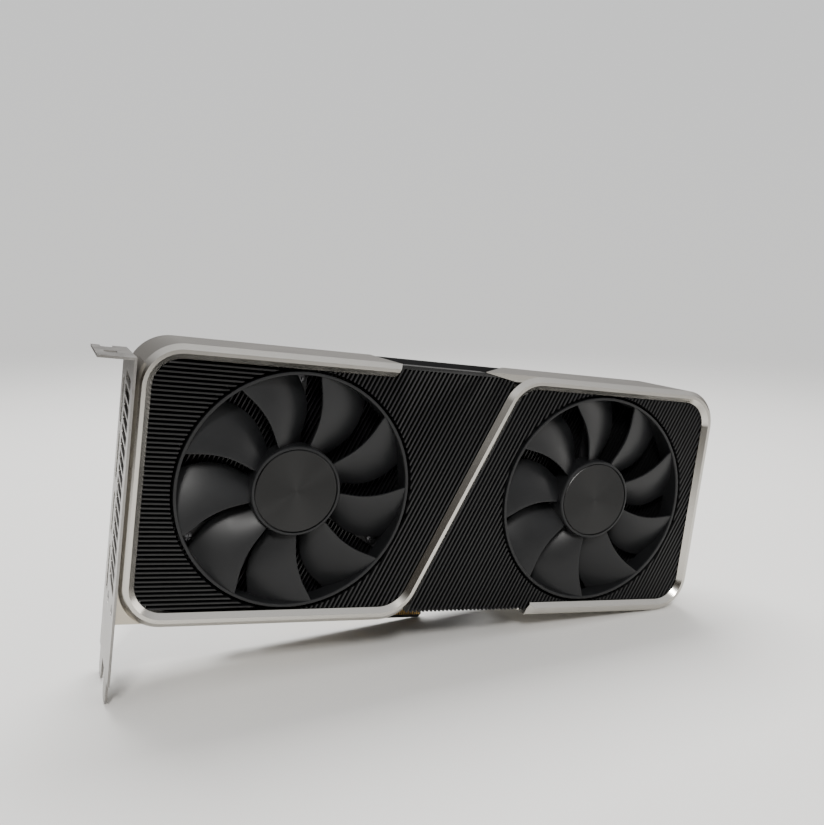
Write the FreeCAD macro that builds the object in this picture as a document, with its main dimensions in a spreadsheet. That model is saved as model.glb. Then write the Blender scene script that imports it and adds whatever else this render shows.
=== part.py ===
import FreeCAD, Part
# Two-slot graphics card: a metal S-shaped frame around two fans and black fin banks, on a circuit board.
#
# Card coordinates, used by every piece before it is placed: x runs from the frame's left edge (the
# bracket end) to the far end, y from the frame's front flat back to the backplate, z from the frame's
# bottom edge up. The model's own origin is the key notch of the edge connector, at the tip of the
# contact tongue and in the middle of the board, so every piece is placed by the same three offsets.
import Sketcher
import math
import os
import re

Vector = FreeCAD.Vector
doc = FreeCAD.newDocument("GraphicsCard")

# ---------------------------------------------------------------------------------------------
# Driving dimensions, in mm and degrees
# ---------------------------------------------------------------------------------------------
SIZES = {
    # frame
    "frame_length": 241.0, "frame_height": 97.7, "bar_width": 5.0, "bar_depth": 5.0,
    "bevel_width": 1.84, "bevel_depth": 1.9, "corner_radius": 15.0, "bend_radius": 14.0,
    "strut_angle": 66.65, "strut_offset": 1.55, "wall_thickness": 1.8, "wall_depth": 36.4,
    "lower_wall_depth": 33.6, "top_end": 92.4, "head_tip": 127.3, "head_drop": 2.8,
    "head_slant": 26.0,
    "lower_end": 159.5, "filler_rise": 1.3, "filler_depth": 26.0,
    # board and edge connector
    "board_front": 34.0, "board_thickness": 1.57, "board_length": 156.0, "board_inset": 3.0,
    "board_notch": 18.0, "tongue_drop": 12.7, "key_to_bracket": 57.15, "key_width": 1.9,
    "short_tongue": 11.65, "long_tongue": 71.65, "tongue_bevel": 1.3,
    "contact_pitch": 1.0, "contact_width": 0.7, "contact_height": 4.2, "contact_thickness": 0.1,
    # bracket
    "bracket_thickness": 0.86, "bracket_gap": 0.14, "bracket_front": 0.6, "bracket_slot": 18.42,
    "slot_pitch": 20.32, "bracket_height": 120.02, "foot_drop": 29.2, "foot_width": 10.19,
    "foot_length": 9.0, "tab_length": 11.43, "notch_width": 4.42, "notch_depth": 6.6,
    "vent_width": 3.5, "vent_length": 17.0, "vent_fall": 2.6, "vent_pitch": 4.7, "vent_margin": 13.0, "vent_drop": 5.12,
    # fans
    "left_fan_place": 57.9, "right_fan_inset": 54.8, "ring_radius": 43.0, "ring_wall": 1.2,
    "ring_front": 1.9, "ring_depth": 8.2, "fan_gap": 1.0, "pocket_depth": 14.2, "hub_radius": 16.5,
    "hub_wall": 1.2, "hub_front": 2.1, "hub_depth": 8.9, "cap_radius": 15.05, "cap_thickness": 0.6,
    "blade_thickness": 1.1, "blade_front": 2.6, "blade_depth": 7.6, "blade_root": 9.0,
    "blade_tip": 23.0, "left_fan_phase": 18.7, "right_fan_phase": 6.6, "driver_thickness": 0.8,
    "magnet_wall": 2.0, "magnet_depth": 6.4, "shaft_radius": 1.5,
    "running_gap": 0.05, "bearing_radius": 3.4, "bearing_length": 6.6, "stator_radius": 12.4,
    "stator_depth": 4.4, "tooth_width": 2.6, "mount_thickness": 1.5, "mount_radius": 15.0,
    "arm_width": 5.0, "arm_overlap": 0.2, "mount_screw_inset": 2.8,
    # heatsink
    "fin_front": 2.0, "fin_gap": 0.15, "crown_drop": 0.3, "crown_depth": 6.0, "lower_fin_edge": 2.4,
    "stack_depth": 10.8, "stack_start": 5.4, "recess_floor": 84.0, "web_thickness": 2.4,
        "pipe_width": 8.0,
    "pipe_thickness": 3.5, "pipe_pitch": 12.0, "pipe_start": 20.0, "pipe_end_inset": 14.0,
    "plate_thickness": 3.0, "plate_length": 62.0, "plate_height": 64.0, "plate_start": 44.0,
    # board parts
    "package_size": 40.0, "package_thickness": 1.4, "die_length": 21.0, "die_height": 19.0,
    "die_thickness": 0.8, "chip_length": 12.0, "chip_height": 14.0, "chip_thickness": 1.1,
    "inductor_size": 6.4, "inductor_height": 4.6, "stage_size": 5.0, "stage_height": 0.9,
    "capacitor_radius": 3.1, "capacitor_height": 5.1,
    # sockets
    "port_width": 17.0, "port_height": 5.6, "port_depth": 17.0, "port_wall": 0.4,
    "media_width": 15.2, "media_height": 5.8, "media_depth": 11.5, "port_pitch": 20.4,
    "first_port": 12.4, "port_fit": 0.25, "socket_place": 105.0, "socket_length": 21.0,
    "socket_width": 8.4, "socket_height": 10.0, "socket_wall": 1.0, "pin_size": 0.8,
    "pin_pitch": 3.0,
    # backplate and fasteners
    "cover_thickness": 1.5, "cover_inset": 0.5, "window_start": 158.0, "window_end_inset": 18.0,
    "window_margin": 12.0, "screw_radius": 1.0, "screw_head_radius": 2.1, "screw_head_depth": 0.9,
    "screw_fit": 0.2, "screw_length": 4.5, "thread_gap": 0.05,
    "filler_screw": 3.8, "bracket_head_depth": 0.5, "spring_thickness": 0.5, "spring_reach": 27.0,
        "spring_width": 7.0,
}

sheet = doc.addObject("Spreadsheet::Sheet", "Sizes")
for row, (alias, number) in enumerate(SIZES.items(), start=1):
    sheet.set(f"A{row}", alias)
    sheet.set(f"B{row}", str(number))
    sheet.setAlias(f"B{row}", alias)
doc.recompute()


def size(alias):
    """The number that the sheet holds under this alias."""
    return float(sheet.get(alias))


# ---------------------------------------------------------------------------------------------
# Shared places, worked out from the sheet
# ---------------------------------------------------------------------------------------------
LEFT = "(bracket_thickness + bracket_gap - key_to_bracket)"
FRONT = "(0 - board_front - board_thickness / 2)"
BOTTOM = "(tongue_drop)"
MIDDLE = "(frame_height / 2)"

length, height = size("frame_length"), size("frame_height")
bar, gap = size("bar_width"), size("fin_gap")
middle = height / 2
left_fan, right_fan = size("left_fan_place"), length - size("right_fan_inset")
strut_place = (left_fan + right_fan) / 2 + size("strut_offset")
strut_angle = math.radians(size("strut_angle"))
pocket_radius = size("ring_radius") + size("fan_gap")
stack_front = size("pocket_depth")
stack_back = stack_front + size("stack_depth")
plate_back = size("board_front") - size("package_thickness") - size("die_thickness")
plate_front = plate_back - size("plate_thickness")
cover_front = size("wall_depth")
cover_back = cover_front + size("cover_thickness")
board_back = size("board_front") + size("board_thickness")
key_place = size("key_to_bracket") - size("bracket_thickness") - size("bracket_gap")


def strut_x(z, aside=0.0):
    """Where the strut's centre line, moved aside square to itself, is at height z."""
    return strut_place + (z - middle) / math.tan(strut_angle) + aside / math.sin(strut_angle)


# ---------------------------------------------------------------------------------------------
# Helpers
# ---------------------------------------------------------------------------------------------
def bind(piece, prop, formula):
    """Tie a property to sheet values; every word with an underscore is an alias."""
    piece.setExpression(prop, re.sub(r"[a-z]+(_[a-z]+)+", r"Sizes.\g<0>", str(formula)))


def place(piece, x="0", y="0", z="0"):
    """Put a piece that is drawn in card coordinates into the model's own frame."""
    bind(piece, "Placement.Base.x", f"{LEFT} + {x}")
    bind(piece, "Placement.Base.y", f"{FRONT} + {y}")
    bind(piece, "Placement.Base.z", f"{BOTTOM} + {z}")
    return piece


def block(label, corner, extent):
    """A box with its low corner and its extents tied to the sheet."""
    piece = doc.addObject("Part::Box", label)
    for prop, formula in zip(("Length", "Width", "Height"), extent):
        bind(piece, prop, formula)
    for axis, formula in zip("xyz", corner):
        bind(piece, f"Placement.Base.{axis}", formula)
    return piece


def rod(label, radius, start, reach, x="0", z="0"):
    """A cylinder along y, from the depth start over the length reach."""
    piece = doc.addObject("Part::Cylinder", label)
    bind(piece, "Radius", radius)
    bind(piece, "Height", reach)
    piece.Placement = FreeCAD.Placement(Vector(), FreeCAD.Rotation(Vector(1, 0, 0), -90))
    bind(piece, "Placement.Base.x", x)
    bind(piece, "Placement.Base.y", start)
    bind(piece, "Placement.Base.z", z)
    return piece


def group(label, pieces, kind="Part::Compound"):
    """Several solids as one node, or one solid fused from several."""
    piece = doc.addObject(kind, label)
    if kind == "Part::Compound":
        piece.Links = pieces
    else:
        piece.Shapes = pieces
    return piece


def cut(label, base, tool):
    """The base with the tool's space taken out of it."""
    piece = doc.addObject("Part::Cut", label)
    piece.Base, piece.Tool = base, tool
    return piece


def tube(label, outer, inner, start, reach):
    """A ring along y between two radii."""
    return cut(label, rod(label + "_outer", outer, start, reach),
        rod(label + "_inner", inner, start, reach))


def new_body(label):
    piece = doc.addObject("PartDesign::Body", label)
    piece.Label = label
    return piece


def sketch_on(piece, role, offset=0.0):
    """A sketch on one of the body's own planes, moved along that plane's normal."""
    plane = [item for item in piece.Origin.OriginFeatures if item.Role == role][0]
    sketch = piece.newObject("Sketcher::SketchObject", piece.Label + "_sketch")
    sketch.AttachmentSupport = [(plane, "")]
    sketch.MapMode = "FlatFace"
    sketch.AttachmentOffset = FreeCAD.Placement(Vector(0, 0, offset), FreeCAD.Rotation())
    return sketch


def front_sketch(piece, depth=0.0):
    """A sketch seen from the front, x to the right and z up, at a depth behind the front flat."""
    return sketch_on(piece, "XZ_Plane", -depth)


def pad(piece, sketch, reach):
    """A pad from a front sketch towards the back."""
    feature = piece.newObject("PartDesign::Pad", piece.Label + "_pad")
    feature.Profile = sketch
    feature.Reversed = True
    bind(feature, "Length", reach)
    doc.recompute()
    return feature


def pocket(piece, sketch, reach, reverse=False):
    """A pocket that has to take material away, from a front sketch towards the back."""
    before = piece.Shape.Volume
    feature = piece.newObject("PartDesign::Pocket", piece.Label + "_pocket")
    feature.Profile = sketch
    feature.Reversed = reverse
    bind(feature, "Length", reach)
    doc.recompute()
    if piece.Shape.Volume >= before:
        raise RuntimeError(piece.Label + ": a pocket cut nothing")
    return feature


def rectangle(sketch, x, z, wide, high):
    """A rectangle held by constraints that are tied to the sheet."""
    corners = [Vector(0, 0, 0), Vector(1, 0, 0), Vector(1, 1, 0), Vector(0, 1, 0)]
    first = sketch.GeometryCount
    for number in range(4):
        sketch.addGeometry(Part.LineSegment(corners[number], corners[(number + 1) % 4]))
    for number in range(4):
        sketch.addConstraint(Sketcher.Constraint("Coincident", first + number, 2,
            first + (number + 1) % 4, 1))
    for number, kind in enumerate(("Horizontal", "Vertical", "Horizontal", "Vertical")):
        sketch.addConstraint(Sketcher.Constraint(kind, first + number))
    dimension(sketch, Sketcher.Constraint("DistanceX", first, 1, first, 2, 1.0), wide)
    dimension(sketch, Sketcher.Constraint("DistanceY", first + 1, 1, first + 1, 2, 1.0), high)
    dimension(sketch, Sketcher.Constraint("DistanceX", -1, 1, first, 1, 0.0), x)
    dimension(sketch, Sketcher.Constraint("DistanceY", -1, 1, first, 1, 0.0), z)


def circle(sketch, x, z, radius):
    """A circle held by constraints that are tied to the sheet."""
    index = sketch.addGeometry(Part.Circle(Vector(0, 0, 0), Vector(0, 0, 1), 1.0))
    dimension(sketch, Sketcher.Constraint("Radius", index, 1.0), radius)
    dimension(sketch, Sketcher.Constraint("DistanceX", -1, 1, index, 3, 0.0), x)
    dimension(sketch, Sketcher.Constraint("DistanceY", -1, 1, index, 3, 0.0), z)


def dimension(sketch, constraint, formula):
    index = sketch.addConstraint(constraint)
    name = f"size{index}"
    sketch.renameConstraint(index, name)
    bind(sketch, "Constraints." + name, formula)


def rounded(points, radii, closed=True):
    """Lines through the points with an arc of the given radius in place of each corner."""
    places = [Vector(x, z, 0) for x, z in points]
    count = len(places)
    ends = []
    for number, corner in enumerate(places):
        radius = radii[number]
        if radius == 0 or (not closed and number in (0, count - 1)):
            ends.append((corner, None, corner))
            continue
        before = (places[number - 1] - corner).normalize()
        after = (places[(number + 1) % count] - corner).normalize()
        half = before.getAngle(after) / 2
        reach = radius / math.tan(half)
        inward = (before + after).normalize()
        centre = corner + inward * (radius / math.sin(half))
        ends.append((corner + before * reach, centre - inward * radius, corner + after * reach))
    edges = []
    for number, (start, top, stop) in enumerate(ends):
        if top is not None:
            edges.append(Part.Arc(start, top, stop))
        following = ends[(number + 1) % count][0]
        if (number + 1 < count or closed) and stop.distanceToPoint(following) > 1e-6:
            edges.append(Part.LineSegment(stop, following))
    return edges


def draw(sketch, edges):
    """Put lines and arcs in a sketch, joined end to end."""
    first = sketch.GeometryCount
    for edge in edges:
        sketch.addGeometry(edge)
    for number in range(first, first + len(edges)):
        sketch.addConstraint(Sketcher.Constraint("Block", number))
    return sketch


def circles(places, radius):
    """Full circles of one radius at several places."""
    return [Part.Circle(Vector(x, z, 0), Vector(0, 0, 1), radius) for x, z in places]


def side_sketch(piece, offset):
    """A sketch in a plane across x, y to the right and z up."""
    return sketch_on(piece, "YZ_Plane", offset)


def side_pocket(piece, offset, edges, reach):
    """A pocket from a side sketch towards the far end."""
    return pocket(piece, draw(side_sketch(piece, offset), edges), reach, reverse=True)


nodes = []


def finished(piece, x="0", y="0", z="0"):
    """Place a finished sub-part and list it for export."""
    place(piece, x, y, z)
    nodes.append(piece)
    return piece


# ---------------------------------------------------------------------------------------------
# Frame: one die-cast S-shaped bar with deep outer walls
# ---------------------------------------------------------------------------------------------
ABOVE = 1.0     # how far a cutting outline reaches past the metal that it cuts


def polygon(sketch, points):
    """A closed outline of straight lines."""
    return draw(sketch, rounded(points, [0] * len(points)))


def trim_frame():
    """Bevelled bar swept along an S, the walls behind it, and the cut ends."""
    piece = new_body("trim_frame")
    low, high, corner = bar / 2, height - bar / 2, size("corner_radius")
    turn, bend = corner - bar / 2, size("bend_radius")
    top, end, head = size("top_end"), size("lower_end"), size("head_tip")
    start = top + bar
    route = [(start, high), (low, high), (low, low), (strut_x(low), low), (strut_x(high), high),
             (length - low, high), (length - low, low), (end, low)]
    path = draw(front_sketch(piece), rounded(route, [0, turn, turn, bend, bend, turn, turn, 0],
        closed=False))
    profile = sketch_on(piece, "YZ_Plane", start)
    bevel, deep, bar_deep = size("bevel_width"), size("bevel_depth"), size("bar_depth")
    polygon(profile, [(deep, height), (0, height - bevel), (0, height - bar + bevel),
        (deep, height - bar),
                      (bar_deep, height - bar), (bar_deep, height)])
    sweep = piece.newObject("PartDesign::AdditivePipe", "frame_bar")
    sweep.Profile = profile
    sweep.Spine = path
    doc.recompute()

    # walls: upper left with its rounded corner, lower left in front of the board, and all round the right
    wall, inner = size("wall_thickness"), corner - size("wall_thickness")
    upper_left = [(top, height), (0, height), (0, height - corner), (wall, height - corner),
                  (wall, height - wall), (top, height - wall)]
    pad(piece, draw(front_sketch(piece, deep), rounded(upper_left, [0, corner, 0, 0, inner, 0])),
        "wall_depth - bevel_depth")
    foot = strut_x(0) - bend
    lower_left = [(corner, 0), (foot, 0), (foot, wall), (corner, wall)]
    pad(piece, polygon(front_sketch(piece, deep), lower_left), "lower_wall_depth - bevel_depth")
    right = [(head, height), (length, height), (length, 0), (end, 0), (end, wall),
             (length - wall, wall), (length - wall, height - wall), (head, height - wall)]
    pad(piece, draw(front_sketch(piece, deep),
        rounded(right, [0, corner, corner, 0, 0, inner, inner, 0])),
        "wall_depth - bevel_depth")

    # the corner between the strut's head and the top wall is filled, down to the fins' sloping crown
    drop, after_bend = height - size("head_drop"), strut_x(high) + bend
    pad(piece, polygon(front_sketch(piece, deep), [
        (strut_x(drop, -bar / 2), drop), (strut_x(drop) + bar, drop), (after_bend, high),
        (after_bend, height), (head, height), (head, height - size("crown_drop"))]),
            "bar_depth - bevel_depth")
    crown_cut = [(head - ABOVE, height - size("crown_drop")), (head, height - size("crown_drop")),
                 (strut_x(drop, -bar / 2), drop), (head - ABOVE, drop)]
    pocket(piece, polygon(front_sketch(piece, deep), crown_cut), "pocket_depth")

    # both ends of the bar are cut along the strut's slope
    slope = bar / math.tan(strut_angle)
    past = start + ABOVE
    pocket(piece, polygon(front_sketch(piece, -ABOVE), [
        (top, height), (top - slope, height - bar), (top - slope, height - bar - ABOVE),
        (past, height - bar - ABOVE), (past, height + ABOVE), (top, height + ABOVE)]), "bar_depth + 2")
    pocket(piece, polygon(front_sketch(piece, -ABOVE), [
        (end - ABOVE, -ABOVE), (end, -ABOVE), (end, 0), (end + slope, bar), (end + slope, bar + ABOVE),
        (end - ABOVE, bar + ABOVE)]), "bar_depth + 2")

    # seen from above, the lower end has a slanted facet, and the right wall starts as a point
    facet = sketch_on(piece, "XY_Plane", -ABOVE)
    polygon(facet, [(end - ABOVE, -ABOVE), (end + 2 * slope, -ABOVE), (end + 2 * slope - deep / 2, 0),
                    (end + slope / 2, deep), (end - ABOVE, deep)])
    pocket(piece, facet, "bar_width + 2", reverse=True)
    slant = sketch_on(piece, "XY_Plane", height - size("pocket_depth"))
    polygon(slant, [(head - ABOVE, deep), (head, deep), (head + size("head_slant"), cover_front),
                    (head + size("head_slant"), cover_front + ABOVE),
                        (head - ABOVE, cover_front + ABOVE)])
    pocket(piece, slant, "pocket_depth + 2", reverse=True)
    return piece


finished(trim_frame())
filler_screws = [(8.0, 3.7), (22.0, 3.7)]


def corner_filler():
    """Square block that fills the outside of the frame's lower corner, behind the bracket's foot."""
    corner, deep = size("corner_radius"), size("bevel_depth") + gap
    piece = new_body("corner_filler")
    rise = size("filler_rise")
    pad(piece, polygon(front_sketch(piece, deep),
        [(0, rise), (corner, rise), (corner, corner), (0, corner)]),
        "filler_depth")
    pocket(piece, draw(front_sketch(piece, deep), circles([(corner, corner)], corner + gap)),
        "filler_depth")
    side_pocket(piece, 0, circles(filler_screws, size("screw_radius") + size("thread_gap")),
        "filler_screw + fin_gap")
    return piece


finished(corner_filler())

# ---------------------------------------------------------------------------------------------
# Heatsink: fin banks around the fans, fin stacks behind them, pipes and cold plate
# ---------------------------------------------------------------------------------------------
rim, inner_turn = bar + gap, size("corner_radius") - bar - gap
inner_bend = size("bend_radius") - bar / 2 - gap
beside = bar / 2 + gap
fin_front, crown = size("fin_front"), height - size("crown_drop") - gap
slope_gap, slope_run = gap / math.sin(strut_angle), bar / math.tan(strut_angle)


def fin_bank(label, points, radii, fan):
    """A bank of fins that reaches the front beside a fan, with the fan's pocket cut out of it."""
    piece = new_body(label)
    pad(piece, draw(front_sketch(piece, fin_front), rounded(points, radii)), "pocket_depth - fin_front")
    pocket(piece, draw(front_sketch(piece, fin_front), circles([(fan, middle)], pocket_radius)),
        "pocket_depth")
    return piece


finished(fin_bank("left_end_fins", [(rim, rim), (left_fan, rim), (left_fan, height - rim),
    (rim, height - rim)],
                  [inner_turn, 0, 0, inner_turn], left_fan))

head_low, top_left = height - size("head_drop") - gap, size("top_end") + slope_gap
under_wall = height - size("wall_thickness") - gap
middle_bank = fin_bank("middle_fins", [
    (left_fan, rim), (strut_x(rim, -beside), rim), (strut_x(head_low, -beside), head_low),
    (size("head_tip"), crown), (top_left, crown), (top_left, under_wall),
    (top_left - slope_run * (height - under_wall) / bar, under_wall),
        (top_left - slope_run, height - rim),
    (left_fan, height - rim)], [0, inner_bend, 0, 0, 0, 0, 0, 0, 0], left_fan)
pocket(middle_bank, polygon(front_sketch(middle_bank, fin_front + size("crown_depth")), [
    (top_left - bar, size("recess_floor")), (strut_x(height), size("recess_floor")),
    (strut_x(height), height), (top_left - bar, height)]), "pocket_depth")
finished(middle_bank)

low_edge, end_left = size("lower_fin_edge"), size("lower_end") - slope_gap
finished(fin_bank("lower_fins", [
    (strut_x(low_edge, beside), low_edge), (end_left + slope_run * low_edge / bar, low_edge),
    (end_left + slope_run * rim / bar, rim), (right_fan, rim), (right_fan, height - rim),
    (strut_x(height - rim, beside), height - rim)], [0, 0, 0, 0, 0, inner_bend], right_fan))
finished(fin_bank("right_end_fins", [
    (right_fan, rim), (length - rim, rim), (length - rim, height - rim), (right_fan, height - rim)],
    [0, inner_turn, inner_turn, 0], right_fan))


def fin_stack(label, points, radii, reach, screws=()):
    """A stack of fins behind the fans, with holes for the fan mounts' screws."""
    piece = new_body(label)
    pad(piece, draw(front_sketch(piece, stack_front), rounded(points, radii)), reach)
    if screws:
        pocket(piece, draw(front_sketch(piece, stack_front),
            circles(screws, size("screw_radius") + size("thread_gap"))), "screw_length + fin_gap")
    return piece


def mount_screw_places(fan):
    """The three screws of a fan's mount, at the ends of its arms."""
    reach = (size("ring_radius") - size("mount_screw_inset"))
    turns = [math.radians(90 + 120 * arm) for arm in range(3)]
    return [(fan + reach * math.cos(turn), middle + reach * math.sin(turn)) for turn in turns]


web = size("web_thickness") / 2
recess = size("recess_floor")
finished(fin_stack("gpu_fin_stack", [
    (size("stack_start"), rim), (strut_x(rim, -beside), rim), (strut_x(recess, -beside), recess),
    (top_left, recess), (top_left, height - rim), (size("stack_start"), height - rim)],
    [0, 0, 0, 0, 0, inner_turn], "stack_depth", mount_screw_places(left_fan)))

tail_stack = fin_stack("tail_fin_stack", [
    (strut_x(low_edge, beside), low_edge), (end_left, low_edge), (end_left, rim), (length - rim, rim),
    (length - rim, height - rim), (strut_x(height - rim, beside), height - rim)],
    [0, 0, 0, inner_turn, inner_turn, 0], "wall_depth - pocket_depth - fin_gap",
        mount_screw_places(right_fan))
pipe_room = size("pipe_thickness") + 2 * gap
lowest_pipe = middle - 1.5 * size("pipe_pitch") - size("pipe_width") / 2 - gap
room = sketch_on(tail_stack, "XY_Plane", lowest_pipe)
polygon(room, [(strut_x(0), stack_back), (length - size("pipe_end_inset") + gap, stack_back),
               (length - size("pipe_end_inset") + gap, stack_back + pipe_room),
               (strut_x(0), stack_back + pipe_room)])
pocket(tail_stack, room, "3 * pipe_pitch + pipe_width + 2 * fin_gap", reverse=True)
behind_board = sketch_on(tail_stack, "XY_Plane", 0)
polygon(behind_board, [(strut_x(0), stack_back), (size("board_length") + gap, stack_back),
                       (size("board_length") + gap, cover_back), (strut_x(0), cover_back)])
pocket(tail_stack, behind_board, "frame_height", reverse=True)
tail_screws = [(length - 66.0, 8.0), (length - 66.0, height - 8.0), (length - 11.0, 22.0),
               (length - 11.0, height - 22.0)]
seat = cover_back - size("screw_head_depth")
pocket(tail_stack, draw(front_sketch(tail_stack, seat - size("screw_length") - gap),
                        circles(tail_screws, size("screw_radius") + size("thread_gap"))), "screw_length")
finished(tail_stack)


def centre_web():
    """Plate behind the strut that the two halves of the heatsink are fixed to."""
    piece = new_body("centre_web")
    low, high = rim, height - size("head_drop") - bar
    pad(piece, polygon(front_sketch(piece, size("bar_depth") + gap), [
        (strut_x(low, -web), low), (strut_x(low, web), low), (strut_x(high, web), high),
        (strut_x(high, -web), high)]), "pocket_depth + stack_depth - bar_depth - 2 * fin_gap")
    return piece


finished(centre_web())


def heat_pipes():
    """Four flattened pipes that carry heat from the cold plate along both stacks."""
    pipes = []
    for number in range(4):
        offset = f"({number} - 1.5) * pipe_pitch - pipe_width / 2"
        pipes.append(block(f"heat_pipe_{number + 1}", (
            "pipe_start", "pocket_depth + stack_depth + fin_gap", f"{MIDDLE} + {offset}"), (
            "frame_length - pipe_start - pipe_end_inset", "pipe_thickness", "pipe_width")))
        rounded_pipe = doc.addObject("Part::Fillet", f"rounded_pipe_{number + 1}")
        rounded_pipe.Base = pipes[-1]
        doc.recompute()
        long_edges = [index for index, edge in enumerate(pipes[-1].Shape.Edges, start=1)
                      if abs(edge.tangentAt(edge.FirstParameter).x) > 0.9]
        radius = size("pipe_thickness") * 0.4
        rounded_pipe.Edges = [(index, radius, radius) for index in long_edges]
        pipes[-1] = rounded_pipe
    return group("heat_pipes", pipes)


finished(heat_pipes())

plate_middle = size("plate_start") + size("plate_length") / 2
package_half = size("package_size") / 2
spring_reach = size("spring_reach")
spring_screws = [(plate_middle + across * spring_reach, middle + up * spring_reach)
                 for across in (-1, 1) for up in (-1, 1)]


def cold_plate():
    """Thick plate pressed on the processor, with tapped holes for the spring screws."""
    piece = new_body("cold_plate")
    plate = front_sketch(piece, plate_front)
    rectangle(plate, "plate_start", f"{MIDDLE} - plate_height / 2", "plate_length", "plate_height")
    pad(piece, plate, "plate_thickness")
    holes = draw(front_sketch(piece, plate_front), circles(spring_screws, size("screw_radius") + gap))
    pocket(piece, holes, "plate_thickness")
    return piece


finished(cold_plate())

# ---------------------------------------------------------------------------------------------
# Circuit board and what is soldered to it
# ---------------------------------------------------------------------------------------------
board_front, inset = size("board_front"), size("board_inset")
cover_screws = [(18.0, 12.0), (18.0, height - 12.0), (58.0, height - 8.0), (plate_middle + 44.0, 10.0),
                (58.0, 10.0), (plate_middle + 32.0, height - 24.0)]


def circuit_board():
    """Board with a contact tongue below, a key notch in the tongue and a V at its far end."""
    key = key_place
    half_key, far = size("key_width") / 2, size("board_length")
    tip, bevel = -size("tongue_drop"), size("tongue_bevel")
    corner, clear = size("corner_radius"), size("wall_thickness") + gap
    near_end, far_end = key - half_key - size("short_tongue"), key + half_key + size("long_tongue")
    key_top = tip + size("contact_height") + 3.5
    outline = [
        (0, inset), (near_end, inset), (near_end, tip + bevel), (near_end + bevel, tip),
        (key - half_key, tip), (key - half_key, key_top), (key + half_key, key_top),
            (key + half_key, tip),
        (far_end - bevel, tip), (far_end, tip + bevel), (far_end, inset),
        (far, inset), (far - size("board_notch"), middle), (far, height - inset),
            (corner, height - inset),
        (clear, height - corner - gap), (0, height - corner - gap)]
    piece = new_body("circuit_board")
    pad(piece, polygon(front_sketch(piece, board_front), outline), "board_thickness")
    holes = circles(spring_screws + cover_screws, size("screw_radius") + size("screw_fit"))
    pocket(piece, draw(front_sketch(piece, board_front), holes), "board_thickness")
    return piece


finished(circuit_board())


def edge_contacts():
    """Gold-plated contacts on both faces of the tongue, one solid for each."""
    piece = doc.addObject("Part::Feature", "edge_contacts")
    wide, high, thick = size("contact_width"), size("contact_height"), size("contact_thickness")
    pitch, half_key = size("contact_pitch"), size("key_width") / 2
    bottom = size("tongue_bevel") - size("tongue_drop")
    short_count, long_count = int(size("short_tongue") / pitch), int(size("long_tongue") / pitch)
    places = [key_place - half_key - pitch * (number + 0.6) for number in range(short_count)]
    places += [key_place + half_key + pitch * (number + 0.6) for number in range(long_count)]
    depths = (board_front - thick, board_back)
    contacts = [Part.makeBox(wide, thick, high, Vector(x - wide / 2, depth, bottom))
                for x in places for depth in depths]
    piece.Shape = Part.makeCompound(contacts)
    return piece


finished(edge_contacts())

finished(block("gpu_package", ("0", "0", "0"), ("package_size", "package_thickness", "package_size")),
         "plate_start + plate_length / 2 - package_size / 2", "board_front - package_thickness",
         f"{MIDDLE} - package_size / 2")
finished(block("gpu_die", ("0", "0", "0"), ("die_length", "die_thickness", "die_height")),
         "plate_start + plate_length / 2 - die_length / 2",
             "board_front - package_thickness - die_thickness",
         f"{MIDDLE} - die_height / 2")


def chips(label, places, wide, deep, high):
    """Equal packages on the board's front face, centred at the given places."""
    pieces = [block(f"{label}_{number}", (f"{x} - {wide} / 2", f"board_front - {deep}",
        f"{z} - {high} / 2"),
                    (wide, deep, high)) for number, (x, z) in enumerate(places, start=1)]
    return group(label, pieces)


beside_package = package_half + size("chip_length") / 2 + 1.2
above_package = package_half + size("chip_length") / 2 + 1.0
memory_places = [(plate_middle + side * beside_package, middle + rise) for side in (-1,
    1) for rise in (-16, 0, 16)]
memory_places += [(plate_middle + shift, middle - above_package) for shift in (-9, 9)]
finished(chips("memory_chips", memory_places, "chip_length", "chip_thickness", "chip_height"))
pad_pieces = [block(f"thermal_pad_{number}", (
    f"{x} - chip_length / 2 + 1", "board_front - package_thickness - die_thickness",
    f"{z} - chip_height / 2 + 1"),
    ("chip_length - 2", "package_thickness + die_thickness - chip_thickness", "chip_height - 2"))
    for number, (x, z) in enumerate(memory_places, start=1)]
finished(group("thermal_pads", pad_pieces))

power_column = size("plate_start") + size("plate_length") + size("inductor_size")
power_rows = [16.0 + 9.0 * row for row in range(6)]
front_column = size("plate_start") - size("inductor_size")
inductor_places = [(power_column, row) for row in power_rows] + [(front_column,
    row) for row in power_rows[:4]]
finished(chips("power_inductors", inductor_places, "inductor_size", "inductor_height", "inductor_size"))
stage_places = [(power_column + 8.5, row) for row in power_rows]
stage_places += [(front_column - 8.0, row) for row in power_rows[:4]]
finished(chips("power_stages", stage_places, "stage_size", "stage_height", "stage_size"))
capacitor_places = [(power_column + 16.5, row) for row in power_rows[:4]]
capacitor_places += [(front_column, 62.0 + 8.0 * row) for row in range(3)]
finished(group("capacitors", [
    rod(f"capacitor_{number}", "capacitor_radius", "board_front - capacitor_height",
        "capacitor_height", x, z)
    for number, (x, z) in enumerate(capacitor_places, start=1)]))
finished(chips("firmware_chips", [(front_column - 8.0, 60.0), (front_column - 8.0, 70.0)],
               "stage_size", "stage_height", "stage_size"))


# ---------------------------------------------------------------------------------------------
# Sockets
# ---------------------------------------------------------------------------------------------
bracket_face = -size("bracket_gap") - size("bracket_thickness")
port_rows = [size("first_port") + size("port_pitch") * row for row in range(4)]


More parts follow.
